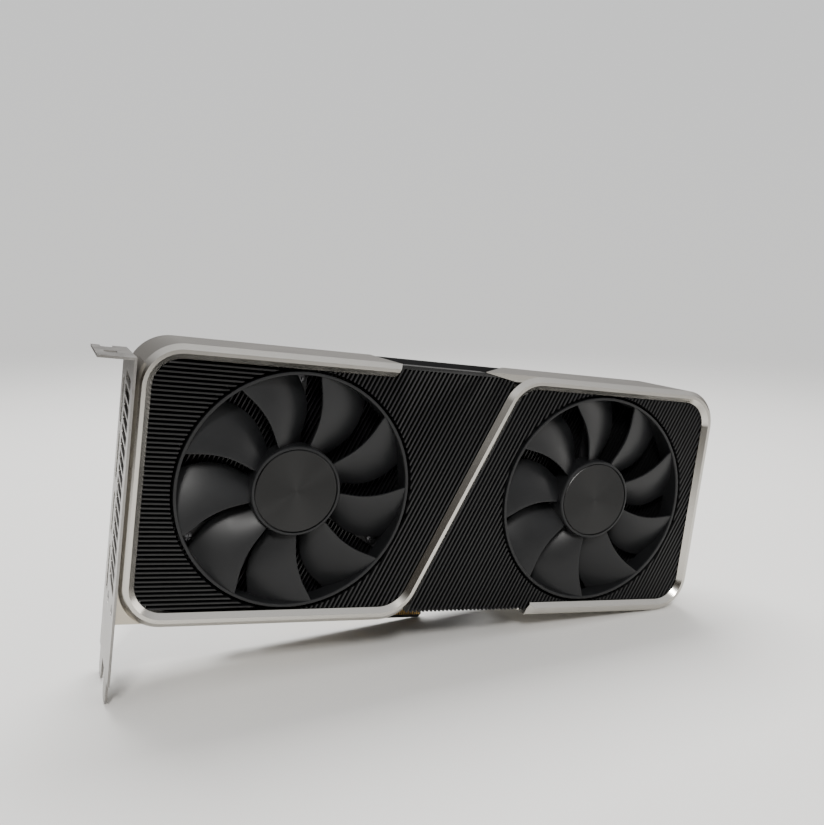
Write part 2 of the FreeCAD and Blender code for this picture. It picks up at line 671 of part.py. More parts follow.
def port_shell(label, row, wide, high, deep):
    """Folded metal shell of a display socket, open towards the bracket."""
    outer = block(f"{label}_outer", (str(bracket_face), f"board_front - {high}", f"{row} - {wide} / 2"),
                  (deep, high, wide))
    inner = block(f"{label}_inner", (
        f"{bracket_face} - 1", f"board_front - {high} + port_wall", f"{row} - {wide} / 2 + port_wall"),
        (f"{deep} - port_wall + 1", f"{high} - 2 * port_wall", f"{wide} - 2 * port_wall"))
    return cut(label, outer, inner)


def port_tongue(label, row, wide, high, deep):
    """Plastic tongue that carries a display socket's contacts, fixed to the back of its shell."""
    return block(label, (f"{bracket_face} + 2", f"board_front - {high} / 2 - 0.6",
        f"{row} - {wide} / 2 + 2.2"),
                 (f"{deep} - port_wall - 2", "1.2", f"{wide} - 4.4"))


port_sizes, media_sizes = ("port_width", "port_height", "port_depth"), ("media_width", "media_height",
    "media_depth")
finished(group("displayport_shells", [port_shell(f"port_shell_{row}", port_rows[row], *port_sizes)
                                      for row in (0, 2, 3)]))
finished(group("displayport_tongues", [port_tongue(f"port_tongue_{row}", port_rows[row], *port_sizes)
                                       for row in (0, 2, 3)]))
finished(port_shell("hdmi_shell", port_rows[1], *media_sizes))
finished(group("hdmi_tongue", [port_tongue("hdmi_tongue_blade", port_rows[1], *media_sizes)]))


def power_socket():
    """Twelve-way power socket on the board's upper edge, open upwards in the top recess."""
    piece = new_body("power_socket")
    outline = sketch_on(piece, "XY_Plane", recess + 1.0)
    rectangle(outline, "socket_place", "board_front - socket_width", "socket_length", "socket_width")
    shell = piece.newObject("PartDesign::Pad", "socket_shell")
    shell.Profile = outline
    bind(shell, "Length", "socket_height")
    doc.recompute()
    cavity = sketch_on(piece, "XY_Plane", recess + 1.0 + size("socket_wall"))
    rectangle(cavity, "socket_place + socket_wall", "board_front - socket_width + socket_wall",
              "socket_length - 2 * socket_wall", "socket_width - 2 * socket_wall")
    pocket(piece, cavity, "socket_height", reverse=True)
    return piece


finished(power_socket())
pins = [block(f"pin_{column}_{row}", (
    f"socket_place + socket_length / 2 + ({column} - 2.5) * pin_pitch - pin_size / 2",
    f"board_front - socket_width / 2 + ({row} - 0.5) * pin_pitch - pin_size / 2",
    f"{recess} + 1 + socket_wall"), ("pin_size", "pin_size", "socket_height - 4 * socket_wall"))
    for column in range(6) for row in range(2)]
finished(group("power_pins", pins))
header_places = [(front_column - 8.0, 84.0), (power_column + 16.5, 58.0)]
finished(group("fan_headers", [block(f"fan_header_{number}",
    (f"{x} - 3", "board_front - 3.4", f"{z} - 2"),
                                     ("6", "3.4", "4")) for number, (x, z) in enumerate(header_places)]))

# ---------------------------------------------------------------------------------------------
# Bracket
# ---------------------------------------------------------------------------------------------
bracket_front = size("bracket_front")
bracket_wide = size("bracket_slot") + size("slot_pitch")
foot_tip, tab_under = -size("foot_drop"), size("bracket_height") - size("foot_drop")
shoulder = foot_tip + size("foot_length")


def io_bracket():
    """Stamped steel bracket: plate with two feet, slanted vents and socket windows, and a bent tab."""
    piece = new_body("io_bracket")
    back = bracket_front + bracket_wide
    narrow = (size("bracket_slot") - size("foot_width")) / 2
    feet = [(bracket_front + narrow + shift, bracket_front + narrow + shift + size("foot_width"))
            for shift in (0, size("slot_pitch"))]
    outline = [(bracket_front, shoulder), (feet[0][0], shoulder), (feet[0][0], foot_tip),
        (feet[0][1], foot_tip),
               (feet[0][1], shoulder), (feet[1][0], shoulder), (feet[1][0], foot_tip),
                   (feet[1][1], foot_tip),
               (feet[1][1], shoulder), (back, shoulder), (back, tab_under), (bracket_front, tab_under)]
    radius = size("foot_width") / 2 - 1.0
    plate = side_sketch(piece, bracket_face)
    draw(plate, rounded(outline, [0, 0, radius, radius, 0, 0, radius, radius, 0, 0, 0, 0]))
    metal = piece.newObject("PartDesign::Pad", "bracket_plate")
    metal.Profile = plate
    bind(metal, "Length", "bracket_thickness")
    tab = front_sketch(piece, bracket_front)
    rectangle(tab, "0 - bracket_gap - bracket_thickness - tab_length", "bracket_height - foot_drop",
              "tab_length + bracket_thickness", "bracket_thickness")
    pad(piece, tab, "bracket_slot + slot_pitch")

    for shift in (size("bracket_slot") + 0.4, bracket_wide):
        notch = sketch_on(piece, "XY_Plane", tab_under - 1.0)
        middle_x = bracket_face - size("tab_length") / 2 - 0.6
        deep_end = bracket_front + shift - size("notch_depth")
        half = size("notch_width") / 2
        outer_end = bracket_front + shift + (1.0 if shift == bracket_wide else 0.0)
        draw(notch, rounded([(middle_x - half, outer_end), (middle_x - half, deep_end),
                             (middle_x + half, deep_end), (middle_x + half, outer_end)],
                            [0, half * 0.95, half * 0.95, 0]))
        pocket(piece, notch, "3 * bracket_thickness", reverse=True)

    fit = size("port_fit")
    for row, (wide, high) in enumerate([port_sizes[:2], media_sizes[:2], port_sizes[:2], port_sizes[:2]]):
        low, top = port_rows[row] - size(wide) / 2 - fit, port_rows[row] + size(wide) / 2 + fit
        near, far = board_front - size(high) - fit, board_front + fit
        side_pocket(piece, bracket_face, rounded([(near, low), (far, low), (far, top), (near, top)],
                                                 [0.6] * 4), "bracket_thickness")
    vent_room = size("vent_length")
    vent_front = bracket_front + 6.0
    fall, vent = size("vent_fall"), size("vent_width")
    count = int((tab_under - size("vent_margin")) / size("vent_pitch"))
    for number in range(count):
        top = tab_under - size("vent_drop") - number * size("vent_pitch")
        corners = [(vent_front, top - fall - vent), (vent_front + vent_room, top - vent),
                   (vent_front + vent_room, top), (vent_front, top - fall)]
        side_pocket(piece, bracket_face, rounded(corners, [0.8] * 4), "bracket_thickness")
    side_pocket(piece, bracket_face, circles(filler_screws, size("screw_radius") + size("screw_fit")),
                "bracket_thickness")
    side_pocket(piece, bracket_face, circles(filler_screws, size("screw_head_radius") + size("screw_fit")),
                "bracket_head_depth")
    return piece


finished(io_bracket())


def bracket_screws():
    """Two flat-head screws, flush with the bracket's face, into the filler."""
    pieces = []
    for number, (y, z) in enumerate(filler_screws):
        head = doc.addObject("Part::Cylinder", f"bracket_screw_head_{number}")
        shank = doc.addObject("Part::Cylinder", f"bracket_screw_shank_{number}")
        outer_face = "0 - bracket_gap - bracket_thickness"
        for part, radius, reach, start in (
                (head, "screw_head_radius", "bracket_head_depth", outer_face),
                (shank, "screw_radius", "bracket_thickness + bracket_gap + filler_screw", outer_face)):
            part.Placement = FreeCAD.Placement(Vector(0, y, z), FreeCAD.Rotation(Vector(0, 1, 0), 90))
            bind(part, "Radius", radius)
            bind(part, "Height", reach)
            bind(part, "Placement.Base.x", start)
        pieces.append(group(f"bracket_screw_{number}", [head, shank], "Part::MultiFuse"))
    return group("bracket_screws", pieces)


finished(bracket_screws())

# ---------------------------------------------------------------------------------------------
# Backplate, its screws, and the spring that presses the board to the cold plate
# ---------------------------------------------------------------------------------------------
def backplate():
    """Black plate over the whole back, with a window where the air leaves the tail stack."""
    piece = new_body("backplate")
    edge, corner = size("cover_inset"), size("corner_radius") - size("cover_inset")
    outline = [(edge, edge), (length - edge, edge), (length - edge, height - edge), (edge, height - edge)]
    pad(piece, draw(front_sketch(piece, cover_front), rounded(outline, [corner] * 4)), "cover_thickness")
    low, high = size("window_margin"), height - size("window_margin")
    lean = (high - low) / math.tan(strut_angle)
    start, stop = size("window_start"), length - size("window_end_inset")
    window = [(start - lean / 2, low), (stop, low), (stop, high), (start + lean / 2, high)]
    pocket(piece, draw(front_sketch(piece, cover_front), rounded(window, [4.0] * 4)), "cover_thickness")
    through = circles(cover_screws + tail_screws, size("screw_radius") + size("screw_fit"))
    through += circles(spring_screws, size("screw_head_radius") + size("screw_fit"))
    pocket(piece, draw(front_sketch(piece, cover_front), through), "cover_thickness")
    sunk = front_sketch(piece, cover_back - size("screw_head_depth"))
    draw(sunk, circles(cover_screws + tail_screws, size("screw_head_radius") + size("screw_fit")))
    pocket(piece, sunk, "screw_head_depth")
    return piece


finished(backplate())


def screw(label, x, z, tip, seat):
    """A screw along y with its head at the back: the shank from tip to seat, then the head."""
    shank = rod(f"{label}_shank", "screw_radius", str(tip), f"{seat} - {tip}", x, z)
    head = rod(f"{label}_head", "screw_head_radius", str(seat), "screw_head_depth", x, z)
    return group(label, [shank, head], "Part::MultiFuse")


finished(group("backplate_screws", [
    screw(f"cover_screw_{number}", x, z, board_front - 1.0, seat) for number,
        (x, z) in enumerate(cover_screws)]))
finished(group("tail_screws", [
    screw(f"tail_screw_{number}", x, z, seat - size("screw_length"), seat)
    for number, (x, z) in enumerate(tail_screws)]))
finished(group("standoffs", [
    cut(f"standoff_{number}",
        rod(f"standoff_outer_{number}", "screw_head_radius", "board_front + board_thickness",
            "wall_depth - board_front - board_thickness", x, z),
        rod(f"standoff_inner_{number}", "screw_radius + screw_fit", "board_front + board_thickness",
            "wall_depth - board_front - board_thickness", x, z))
    for number, (x, z) in enumerate(cover_screws)]))


def retention_spring():
    """X-shaped leaf spring on the back of the board, under four screws."""
    piece = new_body("retention_spring")
    reach, half = spring_reach + size("spring_width") / 2, size("spring_width") / 2
    for lean in (1, -1):
        arm = [(-reach, lean * -reach - half), (-reach + half, lean * -reach - half),
               (reach, lean * reach - half), (reach, lean * reach + half),
               (reach - half, lean * reach + half), (-reach, lean * -reach + half)]
        if lean < 0:
            arm = [(-x, z) for x, z in [(-reach, -reach - half), (-reach + half, -reach - half),
                                        (reach, reach - half), (reach, reach + half),
                                        (reach - half, reach + half), (-reach, -reach + half)]]
        pad(piece, polygon(front_sketch(piece, board_back),
            [(plate_middle + x, middle + z) for x, z in arm]),
            "spring_thickness")
    pocket(piece, draw(front_sketch(piece, board_back),
        circles(spring_screws, size("screw_radius") + size("screw_fit"))),
           "spring_thickness")
    return piece


finished(retention_spring())
finished(group("retention_screws", [
    screw(f"retention_screw_{number}", x, z, plate_front, board_back + size("spring_thickness"))
    for number, (x, z) in enumerate(spring_screws)]))

# ---------------------------------------------------------------------------------------------
# Fans: each a rotor with nine blades and a ring, on a motor carried by a three-armed mount
# ---------------------------------------------------------------------------------------------
BLADES, TEETH, ARMS = 9, 9, 3
hub_radius, ring_radius = size("hub_radius"), size("ring_radius")
hub_face = size("hub_front") + size("cap_thickness")
hub_inside = hub_face + size("hub_wall")
mount_front = stack_front - size("mount_thickness")


def axis_of(piece, role):
    return [item for item in piece.Origin.OriginFeatures if item.Role == role][0]


def around(piece, original, count):
    """Copies of a feature, evenly spaced round the fan's axis."""
    pattern = piece.newObject("PartDesign::PolarPattern", piece.Label + "_pattern")
    pattern.Originals = [original]
    pattern.Axis = (axis_of(piece, "Y_Axis"), [""])
    pattern.Angle = 360
    pattern.Occurrences = count
    piece.Tip = pattern
    doc.recompute()
    return pattern


def blade_section(piece, radius, chord):
    """Section of a blade, square to the radius: front edge leading, falling back behind it."""
    front, deep, thick = size("blade_front"), size("blade_depth"), size("blade_thickness")
    upper = [(-chord / 2, front), (-chord * 0.1, front + deep * 0.5), (chord / 2, front + deep)]
    lower = [(x, y + thick) for x, y in reversed(upper)]
    section = sketch_on(piece, "XY_Plane", radius)
    return polygon(section, upper + lower)


def fan_rotor(label):
    """One moulding: cup-shaped hub, nine blades and the ring that joins their tips."""
    piece = new_body(label)
    front, back = size("hub_front"), size("hub_front") + size("hub_depth")
    bore, seat_radius = size("shaft_radius") + 0.02, size("cap_radius") + gap
    inside, boss = hub_radius - size("hub_wall"), size("bearing_radius")
    ring_inner, ring_front = ring_radius - size("ring_wall"), size("ring_front")
    ring_back = ring_front + size("ring_depth")
    profile = sketch_on(piece, "XY_Plane")
    polygon(profile, [(bore, hub_face), (seat_radius, hub_face), (seat_radius, front),
        (hub_radius, front),
                      (hub_radius, back), (inside, back), (inside, hub_inside), (boss, hub_inside),
                      (boss, hub_inside + 1.6), (bore, hub_inside + 1.6)])
    polygon(profile, [(ring_inner, ring_front), (ring_radius, ring_front), (ring_radius, ring_back),
                      (ring_inner, ring_back)])
    turned = piece.newObject("PartDesign::Revolution", label + "_turned")
    turned.Profile = profile
    turned.ReferenceAxis = (profile, ["V_Axis"])
    turned.Angle = 360
    doc.recompute()
    root_place = hub_radius - size("hub_wall") / 2
    tip_reach = ring_radius - 0.1
    tip_place = math.sqrt(tip_reach ** 2 - (size("blade_tip") / 2) ** 2)
    root = blade_section(piece, root_place, size("blade_root"))
    tip = blade_section(piece, tip_place, size("blade_tip"))
    blade = piece.newObject("PartDesign::AdditiveLoft", label + "_blade")
    blade.Profile = root
    blade.Sections = [(tip, [""])]
    doc.recompute()
    around(piece, blade, BLADES)
    return piece


def fan_stator(label):
    """Laminated core with nine teeth."""
    piece = new_body(label)
    disc = front_sketch(piece, mount_front - size("bearing_length") + 0.2)
    circle(disc, "0", "0", "stator_radius")
    circle(disc, "0", "0", "bearing_radius + 2 * running_gap")
    pad(piece, disc, "stator_depth")
    tooth, outer = size("tooth_width"), size("stator_radius")
    room = outer * math.sin(math.pi / TEETH) - tooth / 2
    root = size("bearing_radius") + 2.6
    slot = [(-0.8, root), (0.8, root), (room, outer - 1.6), (0.5, outer - 1.6), (0.5, outer + 1),
            (-0.5, outer + 1), (-0.5, outer - 1.6), (-room, outer - 1.6)]
    around(piece, pocket(piece, polygon(front_sketch(piece,
        mount_front - size("bearing_length") + 0.2), slot),
                         "stator_depth"), TEETH)
    return piece


def fan_mount(label):
    """Three-armed plate that carries the motor in front of the fin stack."""
    piece = new_body(label)
    disc = front_sketch(piece, mount_front)
    circle(disc, "0", "0", "mount_radius")
    pad(piece, disc, "mount_thickness")
    arm_sketch = front_sketch(piece, mount_front)
    rectangle(arm_sketch, "0 - arm_width / 2", "mount_radius / 2", "arm_width",
        "ring_radius + arm_overlap - mount_radius / 2")
    arm = pad(piece, arm_sketch, "mount_thickness")
    around(piece, arm, ARMS)
    hole = pocket(piece, draw(front_sketch(piece, mount_front), circles(
        [(0, (size("ring_radius") - size("mount_screw_inset")))], size("screw_radius") + size("screw_fit"))), "mount_thickness")
    around(piece, hole, ARMS)
    return piece


def mount_screws(label, fan):
    """Three screws, heads to the front, through the mount's arms into the fin stack."""
    pieces = []
    for number, (x, z) in enumerate(mount_screw_places(fan)):
        head = rod(f"{label}_head_{number}", "screw_head_radius", f"{mount_front} - screw_head_depth",
                   "screw_head_depth", x, z)
        shank = rod(f"{label}_shank_{number}", "screw_radius", str(mount_front),
            "mount_thickness + screw_length", x, z)
        pieces.append(group(f"{label}_{number}", [head, shank], "Part::MultiFuse"))
    return group(label, pieces)


for side, fan, phase in (("left", "left_fan_place", "left_fan_phase"),
                         ("right", "frame_length - right_fan_inset", "right_fan_phase")):
    rotor = finished(fan_rotor(f"{side}_fan_rotor"), fan, "0", MIDDLE)
    bind(rotor, "Placement.Rotation", f"create(<<rotation>>; create(<<vector>>; 0; 1; 0); 0 - {phase})")
    finished(group(f"{side}_fan_cap", [rod(f"{side}_cap_disc", "cap_radius", "hub_front",
        "cap_thickness")]),
             fan, "0", MIDDLE)
    finished(tube(f"{side}_fan_magnet", "hub_radius - hub_wall - thread_gap",
                  "hub_radius - hub_wall - thread_gap - magnet_wall", f"{hub_inside} + fin_gap",
                      "magnet_depth"),
             fan, "0", MIDDLE)
    finished(group(f"{side}_fan_shaft", [rod(f"{side}_shaft_rod", "shaft_radius",
        "hub_front + cap_thickness",
                                             f"{mount_front} - hub_front - cap_thickness - fin_gap")]),
             fan, "0", MIDDLE)
    finished(tube(f"{side}_fan_bearing", "bearing_radius", "shaft_radius + running_gap",
                  f"{mount_front} - bearing_length", "bearing_length"), fan, "0", MIDDLE)
    finished(fan_stator(f"{side}_fan_stator"), fan, "0", MIDDLE)
    finished(tube(f"{side}_fan_driver_board", "stator_radius + 1", "bearing_radius + 2 * running_gap",
                  f"{mount_front} - driver_thickness", "driver_thickness"), fan, "0", MIDDLE)
    finished(fan_mount(f"{side}_fan_mount"), fan, "0", MIDDLE)
    finished(mount_screws(f"{side}_fan_screws", left_fan if side == "left" else right_fan))


# ---------------------------------------------------------------------------------------------
# Check and export
# ---------------------------------------------------------------------------------------------
doc.recompute()
failed = [item.Label for item in doc.Objects if {"Invalid", "Error"} & set(item.State)]
failed += [node.Label for node in nodes if node.Shape.isNull() or not node.Shape.isValid()]
if failed:
    raise RuntimeError("failed pieces: " + ", ".join(failed))
os.makedirs("parts", exist_ok=True)
for node in nodes:
    node.Shape.exportStep(f"parts/{node.Label}.step")
print(len(nodes), "nodes")
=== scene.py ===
import math
import bpy
from mathutils import Matrix, Vector


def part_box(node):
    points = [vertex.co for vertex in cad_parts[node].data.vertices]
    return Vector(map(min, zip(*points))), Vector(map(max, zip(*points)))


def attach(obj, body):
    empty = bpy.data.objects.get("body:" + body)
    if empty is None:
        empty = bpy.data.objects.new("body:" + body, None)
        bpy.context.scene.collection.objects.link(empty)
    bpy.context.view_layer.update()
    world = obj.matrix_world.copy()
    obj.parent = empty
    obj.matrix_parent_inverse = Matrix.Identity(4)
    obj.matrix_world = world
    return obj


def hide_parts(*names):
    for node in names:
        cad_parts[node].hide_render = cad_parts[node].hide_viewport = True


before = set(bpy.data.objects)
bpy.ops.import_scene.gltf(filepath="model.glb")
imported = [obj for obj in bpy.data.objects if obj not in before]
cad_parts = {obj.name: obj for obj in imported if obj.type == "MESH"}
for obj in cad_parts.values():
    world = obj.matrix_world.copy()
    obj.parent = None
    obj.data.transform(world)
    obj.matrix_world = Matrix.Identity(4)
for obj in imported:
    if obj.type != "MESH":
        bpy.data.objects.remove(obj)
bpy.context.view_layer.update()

MM = 0.001
SAME_POINT = 0.000002


# ---- Camera and studio -------------------------------------------------------------------------
# The card leans a little on the bracket's feet and on its far lower corner, on a pale table under
# wide soft lamps. The camera looks from the bracket's end, a little above the fans.
def place_on_card(x, y, z):
    """A point given in mm from the frame's left edge, front flat and bottom edge."""
    return frame_corner + Vector((x, y, z)) * MM


def clear_selection():
    bpy.ops.object.select_all(action="DESELECT")


def aim(thing, eye, look, up):
    """Turns a camera or lamp so that it looks along `look` with `up` above it."""
    look = Vector(look).normalized()
    side = look.cross(Vector(up)).normalized()
    over = side.cross(look)
    turn = Matrix((side, over, -look)).transposed().to_4x4()
    thing.matrix_world = Matrix.Translation(Vector(eye)) @ turn


frame_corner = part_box("trim_frame")[0]
clear_selection()
bpy.ops.object.camera_add()
camera = bpy.context.object
camera.data.lens = 37.61
camera.data.sensor_width = 36
camera.data.clip_start = 0.01
camera_eye = (-0.08670, -0.32220, 0.13182)
camera_line = (0.40433, 0.90641, -0.12221)
camera_up = (-0.06410, 0.16137, 0.98481)
aim(camera, camera_eye, camera_line, camera_up)
bpy.context.scene.camera = camera

table_lean = math.radians(7.32)
bpy.ops.mesh.primitive_circle_add(vertices=96, radius=3, fill_type="NGON",
    location=(-0.0566, 0, -0.0167), rotation=(0, -table_lean, 0))
table = bpy.context.object
table.name = "table"


def lamp(name, eye, target, wide, high, power, tint=(1, 1, 1)):
    clear_selection()
    bpy.ops.object.light_add(type="AREA")
    light = bpy.context.object
    light.name = name
    light.data.shape = "RECTANGLE"
    light.data.size = wide
    light.data.size_y = high
    light.data.energy = power
    light.data.color = tint
    aim(light, eye, Vector(target) - Vector(eye), (0, 0, 1))


lamp("key_lamp", (-0.50, -1.00, 0.90), (0.05, 0, 0.05), 0.26, 0.26, 13, (1.0, 0.985, 0.96))
lamp("top_lamp", (0.05, 0.50, 1.1), (0.06, 0, 0.06), 0.9, 0.6, 21)
lamp("side_lamp", (1.3, -0.35, 0.45), (0.1, 0, 0.06), 0.7, 0.8, 5, (1.0, 0.97, 0.93))

# The room is dim and warm at the left and in front, bright overhead; the camera sees a plain wall.
world = bpy.data.worlds.new("studio")
world.use_nodes = True
bpy.context.scene.world = world
room = world.node_tree
surround = room.nodes["Background"]
seen = room.nodes.new("ShaderNodeLightPath")
heading = room.nodes.new("ShaderNodeTexCoord")
axes = room.nodes.new("ShaderNodeSeparateXYZ")
room.links.new(heading.outputs["Generated"], axes.inputs[0])


def smooth_step(tree, value, low, high, first, last):
    """Goes smoothly from `first` to `last` as `value` goes from `low` to `high`."""
    step = tree.nodes.new("ShaderNodeMapRange")
    step.interpolation_type = "SMOOTHSTEP"
    for label, number in (("From Min", low), ("From Max", high),
            ("To Min", first), ("To Max", last)):
        step.inputs[label].default_value = number
    tree.links.new(value, step.inputs["Value"])
    return step.outputs["Result"]


def mixed(factor, first, last):
    blend = room.nodes.new("ShaderNodeMix")
    blend.data_type = "RGBA"
    room.links.new(factor, blend.inputs["Factor"])
    for label, colour in (("A", first), ("B", last)):
        if isinstance(colour, tuple):
            blend.inputs[label].default_value = (*colour, 1)
        else:
            room.links.new(colour, blend.inputs[label])
    return blend.outputs["Result"]


rightward = smooth_step(room, axes.outputs["X"], -0.9, 0.3, 0, 1)
sideways = mixed(rightward, (0.05, 0.042, 0.034), (0.33, 0.32, 0.31))
upward = smooth_step(room, axes.outputs["Z"], 0.25, 0.95, 0, 1)
overhead = mixed(upward, sideways, (0.95, 0.96, 0.98))
up_the_wall = smooth_step(room, axes.outputs["Z"], -0.1, 0.6, 0, 1)
wall = mixed(up_the_wall, (0.93, 0.925, 0.91), (0.89, 0.90, 0.905))
room.links.new(mixed(seen.outputs["Is Camera Ray"], overhead, wall), surround.inputs["Color"])


# ---- Shared surface effects --------------------------------------------------------------------
# Every surface is a fine grain under a broad cloud of tone, and some have brushed lines over it.
# Each material sets its own sizes, colours and depths.
def effect(name, inputs, outputs):
    """A shader node group with named value or colour sockets."""
    tree = bpy.data.node_groups.new(name, "ShaderNodeTree")
    for label, kind, value in inputs:
        socket = tree.interface.new_socket(name=label, in_out="INPUT", socket_type=kind)
        socket.default_value = value
    for label, kind in outputs:
        tree.interface.new_socket(name=label, in_out="OUTPUT", socket_type=kind)
    return tree, tree.nodes.new("NodeGroupInput"), tree.nodes.new("NodeGroupOutput")


def add_node(tree, kind, values=None, **settings):
    made = tree.nodes.new(kind)
    for key, value in settings.items():
        setattr(made, key, value)
    for key, value in (values or {}).items():
        made.inputs[key].default_value = value
    return made


def math_node(tree, operation, first, second):
    """A Math node whose inputs are sockets or plain numbers; returns its output."""
    made = tree.nodes.new("ShaderNodeMath")
    made.operation = operation
    for slot, value in ((0, first), (1, second)):
        if isinstance(value, (int, float)):
            made.inputs[slot].default_value = value
        else:
            tree.links.new(value, made.inputs[slot])
    return made.outputs[0]


def noise_on(tree, scale, detail=3.0, stretch=(1, 1, 1)):
    """Noise on the piece's own coordinates; `scale` is a socket or features per metre."""
    coordinates = tree.nodes.new("ShaderNodeTexCoord")
    mapping = add_node(tree, "ShaderNodeMapping", {"Scale": stretch})
    tree.links.new(coordinates.outputs["Object"], mapping.inputs["Vector"])
    made = add_node(tree, "ShaderNodeTexNoise", {"Detail": detail, "Roughness": 0.6})
    tree.links.new(mapping.outputs["Vector"], made.inputs["Vector"])
    if isinstance(scale, (int, float)):
        made.inputs["Scale"].default_value = scale
    else:
        tree.links.new(scale, made.inputs["Scale"])
    return made.outputs["Fac"]


# Fine grain of a surface: even noise, with a broad cloud over it for handling marks and dust.
grain, grain_in, grain_out = effect("surface_grain",
    [("Grain", "NodeSocketFloat", 4000.0), ("Cloud", "NodeSocketFloat", 60.0),
     ("Base", "NodeSocketFloat", 0.4), ("Spread", "NodeSocketFloat", 0.1),
     ("Light", "NodeSocketColor", (1, 1, 1, 1)), ("Dark", "NodeSocketColor", (0.8, 0.8, 0.8, 1))],
    [("Colour", "NodeSocketColor"), ("Roughness", "NodeSocketFloat"),
     ("Height", "NodeSocketFloat")])
fine = noise_on(grain, grain_in.outputs["Grain"], 2.0)
cloud = noise_on(grain, grain_in.outputs["Cloud"], 5.0)
tone = math_node(grain, "ADD", math_node(grain, "MULTIPLY", fine, 0.35),
    math_node(grain, "MULTIPLY", cloud, 0.65))
blend = add_node(grain, "ShaderNodeMix", data_type="RGBA")
grain.links.new(tone, blend.inputs["Factor"])
grain.links.new(grain_in.outputs["Dark"], blend.inputs["A"])
grain.links.new(grain_in.outputs["Light"], blend.inputs["B"])
grain.links.new(blend.outputs["Result"], grain_out.inputs["Colour"])
off_middle = math_node(grain, "SUBTRACT", cloud, 0.5)
swing = math_node(grain, "MULTIPLY", off_middle, grain_in.outputs["Spread"])
roughness = math_node(grain, "ADD", swing, grain_in.outputs["Base"])
grain.links.new(roughness, grain_out.inputs["Roughness"])
grain.links.new(fine, grain_out.inputs["Height"])

# Brushed lines: noise stretched along one direction, the stretch given by the material.
brushed, brushed_in, brushed_out = effect("brushed_lines",
    [("Along", "NodeSocketVector", (1, 1, 1)), ("Scale", "NodeSocketFloat", 900.0)],
    [("Lines", "NodeSocketFloat")])
where = brushed.nodes.new("ShaderNodeTexCoord")
stretch = add_node(brushed, "ShaderNodeVectorMath", operation="MULTIPLY")
lines = add_node(brushed, "ShaderNodeTexNoise", {"Detail": 4.0, "Roughness": 0.7})
brushed.links.new(where.outputs["Object"], stretch.inputs[0])
brushed.links.new(brushed_in.outputs["Along"], stretch.inputs[1])
brushed.links.new(stretch.outputs["Vector"], lines.inputs["Vector"])
brushed.links.new(brushed_in.outputs["Scale"], lines.inputs["Scale"])
brushed.links.new(lines.outputs["Fac"], brushed_out.inputs["Lines"])


def material(name, light, dark, roughness, spread=0.1, metallic=0.0, grain_size=0.3, cloud_size=15,
             bump=0.15, depth=0.02, brush=None, coat=0.0, specular=0.5, anisotropic=0.0):
    """A surface with its own grain (mm), tone and, where `brush` gives a stretch, brushed lines."""
    made = bpy.data.materials.new(name)
    made.use_nodes = True
    tree = made.node_tree
    shader = tree.nodes["Principled BSDF"]
    shader.inputs["Metallic"].default_value = metallic
    shader.inputs["Specular IOR Level"].default_value = specular
    shader.inputs["Coat Weight"].default_value = coat
    shader.inputs["Coat Roughness"].default_value = 0.25
    shader.inputs["Anisotropic"].default_value = anisotropic
    look = tree.nodes.new("ShaderNodeGroup")
    look.node_tree = grain
    look.inputs["Grain"].default_value = 1000 / grain_size
    look.inputs["Cloud"].default_value = 1000 / cloud_size
    look.inputs["Base"].default_value = roughness
    look.inputs["Spread"].default_value = spread
    look.inputs["Light"].default_value = (*light, 1)
    look.inputs["Dark"].default_value = (*dark, 1)
    tree.links.new(look.outputs["Colour"], shader.inputs["Base Color"])
    height = look.outputs["Height"]
    rough = look.outputs["Roughness"]
    if brush:
        marks = tree.nodes.new("ShaderNodeGroup")
        marks.node_tree = brushed
        marks.inputs["Along"].default_value = brush
        drawn = marks.outputs["Lines"]
        height = math_node(tree, "ADD", math_node(tree, "MULTIPLY", height, 0.3), drawn)
        uneven = math_node(tree, "MULTIPLY", math_node(tree, "SUBTRACT", drawn, 0.5), 0.25)
        rough = math_node(tree, "ADD", rough, uneven)
    tree.links.new(rough, shader.inputs["Roughness"])
    relief = add_node(tree, "ShaderNodeBump", {"Strength": bump, "Distance": depth * MM})
    tree.links.new(height, relief.inputs["Height"])
    tree.links.new(relief.outputs["Normal"], shader.inputs["Normal"])
    return made


# The table is matt pale paper, and runs out into the wall with no edge.
paper = material("table_paper", (0.80, 0.79, 0.765), (0.76, 0.75, 0.725), 0.85,
    grain_size=1, cloud_size=300, bump=0.02)
paper_tree = paper.node_tree
spot = paper_tree.nodes.new("ShaderNodeTexCoord")
away = add_node(paper_tree, "ShaderNodeVectorMath", operation="LENGTH")
paper_tree.links.new(spot.outputs["Object"], away.inputs[0])
thin = smooth_step(paper_tree, away.outputs["Value"], 0.35, 1.5, 1, 0)
paper_tree.links.new(thin, paper_tree.nodes["Principled BSDF"].inputs["Alpha"])
table.data.materials.append(paper)


# ---- Working a solid into a finished piece -------------------------------------------------------
# Each piece starts as a copy of its solid. Its edges are eased as tooling or deburring leaves them;
# then it is shaded, given its surface and put on the body it moves with.
SMOOTH_BELOW = math.radians(30)


def worked(node, name, edge, body="card", look=None, segments=2):
    """A finished copy of a solid: flat faces joined up, edges eased by `edge` mm, shaded smooth."""
    clear_selection()
    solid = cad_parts[node]
    solid.select_set(True)
    bpy.context.view_layer.objects.active = solid
    bpy.ops.object.duplicate()
    piece = bpy.context.object
    for key in list(piece.keys()):
        del piece[key]
    piece.name = name
    piece.data.materials.clear()
    bpy.ops.mesh.customdata_custom_splitnormals_clear()
    bpy.ops.object.mode_set(mode="EDIT")
    bpy.ops.mesh.select_all(action="SELECT")
    bpy.ops.mesh.remove_doubles(threshold=SAME_POINT)
    if edge:
        bpy.ops.mesh.dissolve_limited(angle_limit=math.radians(0.3))
    bpy.ops.object.mode_set(mode="OBJECT")
    if edge:
        ease(piece, edge, segments)
    finished(piece, node, body, look)
    return piece


